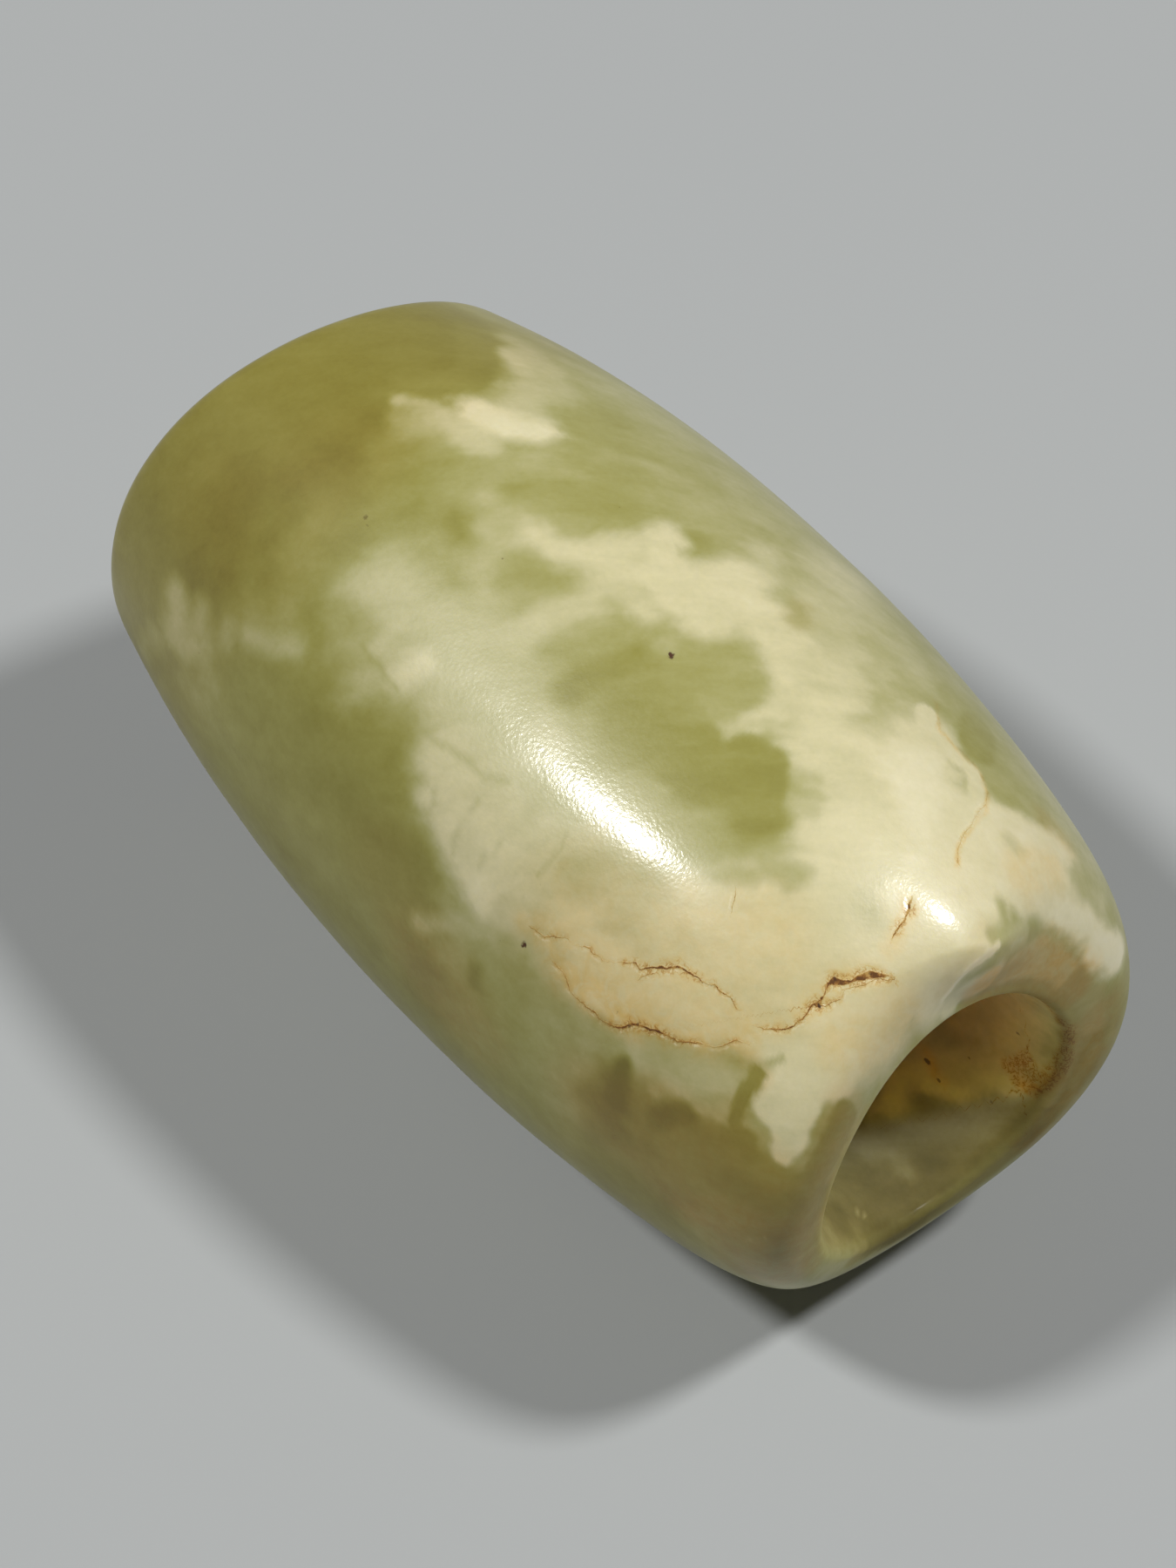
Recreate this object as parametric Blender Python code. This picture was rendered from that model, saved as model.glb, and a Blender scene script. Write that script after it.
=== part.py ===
"""Jade tube bead: one barrel-shaped piece of stone with a wide hole along its length.

The bead lies on its side. X runs along the hole, towards the near end, Y runs across, Z is up.
The origin is on the surface that the bead lies on, under the middle of its belly.
Sizes are in metres and angles in degrees.
"""

import math

import bmesh
import bpy

# Hole: two tapered drillings, one from each end, that meet near the middle
BORE_RADIUS = 0.0045  # near drilling, at its narrow inner end
BORE_WIDENING = 0.0012  # growth in radius from the meeting to the foot of the funnel
DRILL_STEP = 0.0003  # the far drilling is this much wider where the two meet
MEETING_OFFSET = 0.0015  # the two meet this far past the middle, towards the far end
MEETING_LENGTH = 0.0008  # length of the step between the two
FUNNEL_WIDENING = 0.0006  # growth in radius from the foot of the funnel to the mouth
FUNNEL_DEPTH = 0.0040
NEAR_MOUTH_ACROSS = -0.00075  # the near mouth is off centre by this much along Y
NEAR_MOUTH_UP = -0.00035  # and by this much along Z

# Ends: a rounded lip inside a narrow crest, then an end face that rounds into the side
LIP_WIDTH = 0.0005  # from the mouth out to the crest
LIP_DEPTH = 0.0005  # from the crest in to the mouth
CREST_WIDTH = 0.0005
FACE_WIDTH = 0.00287  # from the crest out to where side and end would meet unrounded
NEAR_ROUNDING = 0.00565  # length of the rounded stretch, along X
NEAR_FULLNESS = 1.23  # weight of the corner: a higher one is squarer
FAR_ROUNDING = 0.00098
FAR_FULLNESS = 0.98

# Body
HALF_LENGTH = 0.02076  # from the middle of the belly to the crest of either end, on the axis
BELLY_SWELL = 0.00283  # the belly's radius, less the unrounded radius at the ends
BELLY_POWER = 2.2  # of the curve from belly to end: a higher one is fuller
REST_DEPTH = 0.00015  # ground off the belly, as a long narrow flat on which the bead rests

# Hand-ground ends, neither of them square or flat
NEAR_LEAN_UP = -3.1  # degrees, from bottom to top: the top is further back
NEAR_WARP = 0.00109  # rise of the saddle at the rim of the end
NEAR_WARP_TURN = -10.6  # degrees from Y to the saddle's high sides
FAR_LEAN_ACROSS = 3.3  # degrees, seen from above
FAR_WARP = 0.00075
FAR_WARP_TURN = 57.0

# Fineness of the mesh
SIDES = 48  # a multiple of four, so that a flat facet is at the bottom
SIDE_STEPS = 10
ROUNDING_STEPS = 8
LIP_STEPS = 3
FUNNEL_STEPS = 3
DRILL_STEPS = 3
SMOOTH_BELOW = 30.0  # degrees between faces that are shaded as one surface

# Sizes that follow from those above
MOUTH_RADIUS = BORE_RADIUS + BORE_WIDENING + FUNNEL_WIDENING
CREST_RADIUS = MOUTH_RADIUS + LIP_WIDTH + CREST_WIDTH
END_RADIUS = CREST_RADIUS + FACE_WIDTH
BELLY_RADIUS = END_RADIUS + BELLY_SWELL
AXIS_HEIGHT = BELLY_RADIUS - REST_DEPTH


def along(start, end, steps):
    """Even stations after start, up to and with end."""
    return [start + (end - start) * step / steps for step in range(1, steps + 1)]


def side_radius(x):
    return BELLY_RADIUS - BELLY_SWELL * (x / HALF_LENGTH) ** BELLY_POWER


def side_slope(x):
    return -BELLY_SWELL * BELLY_POWER / HALF_LENGTH * (x / HALF_LENGTH) ** (BELLY_POWER - 1)


def rounded_end(rounding, fullness):
    """A weighted curve from the side, past the corner, to the crest, as (x, radius, share).

    It leaves along the side's own slope and arrives square to the axis.
    The share says how much of the mouth's offset a ring takes up.
    """
    start = HALF_LENGTH - rounding
    start_radius = side_radius(start)
    corner_radius = start_radius + side_slope(start) * rounding
    points = []
    for t in along(0.0, 1.0, ROUNDING_STEPS):
        first = (1 - t) ** 2
        middle = 2 * fullness * t * (1 - t)
        last = t**2
        total = first + middle + last
        x = (first * start + (middle + last) * HALF_LENGTH) / total
        radius = (first * start_radius + middle * corner_radius + last * CREST_RADIUS) / total
        points.append((x, radius, last / total))
    return points


def lip():
    """A quarter of an ellipse, from the crest in to the mouth."""
    points = [(HALF_LENGTH, MOUTH_RADIUS + LIP_WIDTH, 1.0)]
    for angle in along(0.0, math.pi / 2, LIP_STEPS):
        x = HALF_LENGTH - LIP_DEPTH * (1 - math.cos(angle))
        points.append((x, MOUTH_RADIUS + LIP_WIDTH * (1 - math.sin(angle)), 1.0))
    return points


def drilling(meeting, meeting_radius):
    """The funnel and the taper inside it, from the mouth in to the meeting."""
    mouth = HALF_LENGTH - LIP_DEPTH
    foot = mouth - FUNNEL_DEPTH
    foot_radius = MOUTH_RADIUS - FUNNEL_WIDENING
    points = []
    for depth in along(0.0, 1.0, FUNNEL_STEPS):
        radius = foot_radius + FUNNEL_WIDENING * (1 - depth) ** 2
        points.append((mouth - FUNNEL_DEPTH * depth, radius))
    for depth in along(0.0, 1.0, DRILL_STEPS):
        x = foot + (meeting - foot) * depth
        points.append((x, foot_radius + (meeting_radius - foot_radius) * depth))
    return [(x, radius, (x - meeting) / (mouth - meeting)) for x, radius in points]


def half(rounding, fullness, meeting, meeting_radius):
    """The outline of one end, from past the middle of the belly over the end and in to the meeting."""
    points = []
    for x in along(0.0, HALF_LENGTH - rounding, SIDE_STEPS):
        points.append((x, side_radius(x), 0.0))
    points += rounded_end(rounding, fullness)
    points += lip()
    points += drilling(meeting, meeting_radius)
    return points


def outline():
    """The closed outline of the wall, once round, as (x, radius, offset along Y, offset along Z)."""
    near = half(
        NEAR_ROUNDING,
        NEAR_FULLNESS,
        MEETING_LENGTH / 2 - MEETING_OFFSET,
        BORE_RADIUS,
    )
    far = half(
        FAR_ROUNDING,
        FAR_FULLNESS,
        MEETING_LENGTH / 2 + MEETING_OFFSET,
        BORE_RADIUS + DRILL_STEP,
    )
    points = [(0.0, BELLY_RADIUS, 0.0, 0.0)]
    for x, radius, share in near:
        points.append((x, radius, share * NEAR_MOUTH_ACROSS, share * NEAR_MOUTH_UP))
    for x, radius, _ in reversed(far):
        points.append((-x, radius, 0.0, 0.0))
    return points


def ground(point, lean_across, lean_up, warp, warp_turn):
    """Moves a point along X as grinding left the end: leaned, and warped like a saddle."""
    x, y, z = point
    share = abs(x) / HALF_LENGTH
    lean = math.tan(math.radians(lean_across)) * y + math.tan(math.radians(lean_up)) * z
    turn = 2 * math.radians(warp_turn)
    saddle = (y * y - z * z) * math.cos(turn) + 2 * y * z * math.sin(turn)
    point.x = x + share**2 * lean + share**4 * warp * saddle / END_RADIUS**2


def cut_rest(mesh):
    """Cuts the flat along the belly, at the bottom."""
    cut = bmesh.ops.bisect_plane(
        mesh,
        geom=mesh.verts[:] + mesh.edges[:] + mesh.faces[:],
        plane_co=(0.0, 0.0, -AXIS_HEIGHT),
        plane_no=(0.0, 0.0, -1.0),
        clear_outer=True,
    )
    rim = [item for item in cut["geom_cut"] if isinstance(item, bmesh.types.BMEdge)]
    bmesh.ops.edgeloop_fill(mesh, edges=rim)


def turned_bead():
    """A ring for each point of the outline, bridged to the next, with facets square to Y and Z."""
    half_facet = math.pi / SIDES
    spread = 1 / math.cos(half_facet)
    mesh = bmesh.new()
    rings = []
    for x, radius, across, up in outline():
        ring = []
        for side in range(SIDES):
            angle = 2 * math.pi * side / SIDES + half_facet
            y = across + radius * spread * math.cos(angle)
            z = up + radius * spread * math.sin(angle)
            ring.append(mesh.verts.new((x, y, z)))
        rings.append(ring)
    for index, ring in enumerate(rings):
        following = rings[(index + 1) % len(rings)]
        for side in range(SIDES):
            after = (side + 1) % SIDES
            mesh.faces.new((ring[side], ring[after], following[after], following[side]))
    for vert in mesh.verts:
        if vert.co.x > 0:
            ground(vert.co, 0.0, NEAR_LEAN_UP, NEAR_WARP, NEAR_WARP_TURN)
        else:
            ground(vert.co, FAR_LEAN_ACROSS, 0.0, FAR_WARP, FAR_WARP_TURN)
    cut_rest(mesh)
    bmesh.ops.translate(mesh, verts=mesh.verts, vec=(0.0, 0.0, AXIS_HEIGHT))
    bmesh.ops.recalc_face_normals(mesh, faces=mesh.faces)
    return mesh


def pale_jade():
    """Polished stone, cream and pale olive green."""
    material = bpy.data.materials.new("pale_jade")
    material.use_nodes = True
    shader = material.node_tree.nodes["Principled BSDF"]
    shader.inputs["Base Color"].default_value = (0.50, 0.47, 0.25, 1.0)
    shader.inputs["Roughness"].default_value = 0.28
    shader.inputs["Metallic"].default_value = 0.0
    return material


def add_bead():
    data = bpy.data.meshes.new("jade_tube")
    mesh = turned_bead()
    mesh.to_mesh(data)
    mesh.free()
    data.shade_smooth()
    data.set_sharp_from_angle(angle=math.radians(SMOOTH_BELOW))
    data.materials.append(pale_jade())
    bead = bpy.data.objects.new("jade_tube", data)
    bpy.context.scene.collection.objects.link(bead)


for old in list(bpy.data.objects):
    bpy.data.objects.remove(old, do_unlink=True)
add_bead()
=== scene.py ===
import math

import bpy
import numpy as np
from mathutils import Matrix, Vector


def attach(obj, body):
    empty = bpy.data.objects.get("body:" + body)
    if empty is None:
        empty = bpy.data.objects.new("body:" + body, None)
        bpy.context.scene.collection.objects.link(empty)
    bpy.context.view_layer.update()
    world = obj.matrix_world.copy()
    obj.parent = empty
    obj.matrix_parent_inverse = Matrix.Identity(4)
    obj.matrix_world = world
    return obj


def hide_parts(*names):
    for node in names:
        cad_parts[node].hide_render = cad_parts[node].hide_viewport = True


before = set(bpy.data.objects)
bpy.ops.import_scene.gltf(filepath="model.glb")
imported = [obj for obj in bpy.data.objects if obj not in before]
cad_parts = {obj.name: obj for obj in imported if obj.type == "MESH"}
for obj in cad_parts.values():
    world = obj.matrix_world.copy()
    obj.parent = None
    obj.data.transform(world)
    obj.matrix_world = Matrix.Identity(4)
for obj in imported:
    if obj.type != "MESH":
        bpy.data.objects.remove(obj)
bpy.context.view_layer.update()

mm = 0.001

# Turned form of the bead in mm, the same as the solid's
form = {
    "boreRadius": 4.5,
    "boreWidening": 1.2,
    "drillStep": 0.3,
    "meetingOffset": 1.5,
    "meetingLength": 0.8,
    "funnelWidening": 0.6,
    "funnelDepth": 4.0,
    "mouthAcross": -0.75,  # the near mouth is off centre
    "mouthUp": -0.35,
    "lipWidth": 0.5,
    "lipDepth": 0.5,
    "crestWidth": 0.5,
    "faceWidth": 2.87,
    "nearRounding": 5.65,
    "nearFullness": 1.23,
    "farRounding": 0.98,
    "farFullness": 0.98,
    "halfLength": 20.76,
    "bellySwell": 2.83,
    "bellyPower": 2.2,
    "restDepth": 0.15,
    "nearLeanUp": -3.1,  # degrees
    "nearWarp": 1.09,
    "nearWarpTurn": -10.6,
    "farLeanAcross": 3.3,
    "farWarp": 0.75,
    "farWarpTurn": 57.0,
}
mouthRadius = form["boreRadius"] + form["boreWidening"] + form["funnelWidening"]
crestRadius = mouthRadius + form["lipWidth"] + form["crestWidth"]
endRadius = crestRadius + form["faceWidth"]
bellyRadius = endRadius + form["bellySwell"]
axisHeight = bellyRadius - form["restDepth"]


def sideRadius(x):
    return bellyRadius - form["bellySwell"] * (x / form["halfLength"]) ** form["bellyPower"]


def sideSlope(x):
    power = form["bellyPower"]
    return -form["bellySwell"] * power / form["halfLength"] * (x / form["halfLength"]) ** (power - 1)


# How many points trace each stretch of the outline
outlineSteps = {"side": 240, "shoulder": 160, "lip": 40, "bore": 60}


def halfOutline(rounding, fullness, meeting, meetingRadius):
    # x, radius and share of the mouth's offset, and the length along them, from the middle over the
    # end and down the bore
    length = form["halfLength"]
    start = length - rounding
    side = np.linspace(0.0, start, outlineSteps["side"])
    t = np.linspace(0.0, 1.0, outlineSteps["shoulder"])[1:]
    turn = np.linspace(0.0, math.pi / 2, outlineSteps["lip"])
    depth = np.linspace(0.0, 1.0, outlineSteps["bore"])[1:]
    first, middle, last = (1 - t) ** 2, 2 * fullness * t * (1 - t), t**2
    total = first + middle + last
    cornerRadius = sideRadius(start) + sideSlope(start) * rounding
    mouth = length - form["lipDepth"]
    foot = mouth - form["funnelDepth"]
    footRadius = mouthRadius - form["funnelWidening"]
    x = np.concatenate([
        side,
        (first * start + (middle + last) * length) / total,
        length - form["lipDepth"] * (1 - np.cos(turn)),
        mouth - form["funnelDepth"] * depth,
        foot + (meeting - foot) * depth,
    ])
    radius = np.concatenate([
        sideRadius(side),
        (first * sideRadius(start) + middle * cornerRadius + last * crestRadius) / total,
        mouthRadius + form["lipWidth"] * (1 - np.sin(turn)),
        footRadius + form["funnelWidening"] * (1 - depth) ** 2,
        footRadius + (meetingRadius - footRadius) * depth,
    ])
    boreShare = (x[-2 * len(depth):] - meeting) / (mouth - meeting)
    share = np.concatenate([0 * side, last / total, 0 * turn + 1, boreShare])
    steps = np.hypot(np.diff(x), np.diff(radius))
    return (x, radius, share), np.concatenate([[0.0], np.cumsum(steps)])


nearRows, nearAlong = halfOutline(
    form["nearRounding"], form["nearFullness"],
    form["meetingLength"] / 2 - form["meetingOffset"], form["boreRadius"],
)
farRows, farAlong = halfOutline(
    form["farRounding"], form["farFullness"],
    form["meetingLength"] / 2 + form["meetingOffset"], form["boreRadius"] + form["drillStep"],
)


def outlineAt(along):
    # along is the length in mm over the surface from the middle, positive towards the near end
    near = [np.interp(along, nearAlong, row) for row in nearRows]
    x, radius, share = [np.interp(-along, farAlong, row) for row in farRows]
    return np.where(along >= 0, near, (-x, radius, 0 * share))  # the far mouth is centred


def onBead(along, angle):
    # Points in mm, before the flat is cut. angle is in degrees about the axis, 90 at the top, 0 towards +Y
    x, radius, share = outlineAt(along)
    turn = np.radians(angle)
    y = share * form["mouthAcross"] + radius * np.cos(turn)
    z = share * form["mouthUp"] + radius * np.sin(turn)
    part = np.abs(x) / form["halfLength"]
    near = x > 0
    leanY = np.where(near, 0.0, math.tan(math.radians(form["farLeanAcross"])))
    leanZ = np.where(near, math.tan(math.radians(form["nearLeanUp"])), 0.0)
    warp = np.where(near, form["nearWarp"], form["farWarp"])
    double = 2 * np.radians(np.where(near, form["nearWarpTurn"], form["farWarpTurn"]))
    saddle = (y * y - z * z) * np.cos(double) + 2 * y * z * np.sin(double)
    x = x + part**2 * (leanY * y + leanZ * z) + part**4 * warp * saddle / endRadius**2
    return np.stack([x, y, z + axisHeight], axis=-1)


# Spans of even steps in mm along the outline, and in degrees round it: finer where cracks are cut
ringSpans = [
    (-farAlong[-1], -28, 1),
    (-28, -22.2, 0.2),
    (-22.2, 0, 0.33),
    (0, 5, 0.27),
    (5, 20.4, 0.145),
    (20.4, 23, 0.085),
    (23, 25, 0.125),
    (25, 34, 0.3),
    (34, nearAlong[-1], 1),
]
sideSpans = [
    (14, 52, 1.4),
    (52, 84, 0.85),
    (84, 158, 0.6),
    (158, 216, 1.4),
    (216, 374, 2.2),
]
seamAngle = sideSpans[0][0]  # where the round closes


def stations(spans):
    parts = []
    for start, end, step in spans:
        count = max(1, round((end - start) / step))
        parts.append(start + (end - start) * np.arange(count) / count)
    return np.concatenate(parts)


def smooth(x):
    x = np.clip(x, 0.0, 1.0)
    return x * x * (3 - 2 * x)


octaveFade = 0.55  # how much each finer octave of noise counts


def latticeNoise(points, seed):
    # Gradient noise in three dimensions, about -1 to 1. Large numbers scatter the corners of its grid
    cell = np.floor(points).astype(np.int64)
    part = points - cell
    ease = part**3 * (part * (part * 6 - 15) + 10)
    total = np.zeros(len(points))
    for corner in range(8):
        offset = np.array([corner & 1, corner >> 1 & 1, corner >> 2 & 1])
        at = cell + offset
        key = at[:, 0] * 73856093 ^ at[:, 1] * 19349663 ^ at[:, 2] * 83492791 ^ seed * 2654435761
        slope = 0.0
        for axis in range(3):
            key = (key * 1103515245 + 12345 + axis) & 0x7FFFFFFF
            key = key ^ key >> 13
            slope = slope + ((key & 0xFFFF) / 32767.5 - 1) * (part[:, axis] - offset[axis])
        total += np.prod(np.where(offset, ease, 1 - ease), axis=1) * slope
    return total


def stoneNoise(points, size, octaves, seed):
    total = np.zeros(len(points))
    for octave in range(octaves):
        total += latticeNoise(points * 2**octave / size, seed + octave) * octaveFade**octave
    return total


def noisePair(points, size, octaves, *seeds):
    return np.column_stack([stoneNoise(points, size, octaves, seed) for seed in seeds])


def unrolled(points):
    # Listed (along, angle) points as mm on the unrolled surface
    return np.array([(along, math.radians(angle - 90) * bellyRadius) for along, angle, *rest in points])


def wrapped(flat, middle):
    # The unrolled places, moved by whole turns to the side of the bead where a stroke is
    turn = 2 * math.pi * bellyRadius
    moved = flat.copy()
    moved[:, 1] += turn * np.round((middle - flat[:, 1]) / turn)
    return moved


def strokeDistance(flat, points):
    # Distance in mm to a line through given points, its sign by side, and how far along the line it is
    spots = unrolled(points)
    flat = wrapped(flat, spots[:, 1].mean())
    nearest = np.full(len(flat), np.inf)
    side = np.ones(len(flat))
    where = np.zeros(len(flat))
    if len(spots) == 1:
        return np.hypot(*(flat - spots[0]).T), side, where
    for number, (start, end) in enumerate(zip(spots[:-1], spots[1:])):
        run = end - start
        share = np.clip(((flat - start) @ run) / (run @ run), 0, 1)
        away = flat - start - share[:, None] * run
        distance = np.hypot(*away.T)
        closer = distance < nearest
        nearest = np.where(closer, distance, nearest)
        side = np.where(closer, np.sign(run[0] * away[:, 1] - run[1] * away[:, 0]), side)
        where = np.where(closer, number + share, where)
    return nearest, side, where
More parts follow.
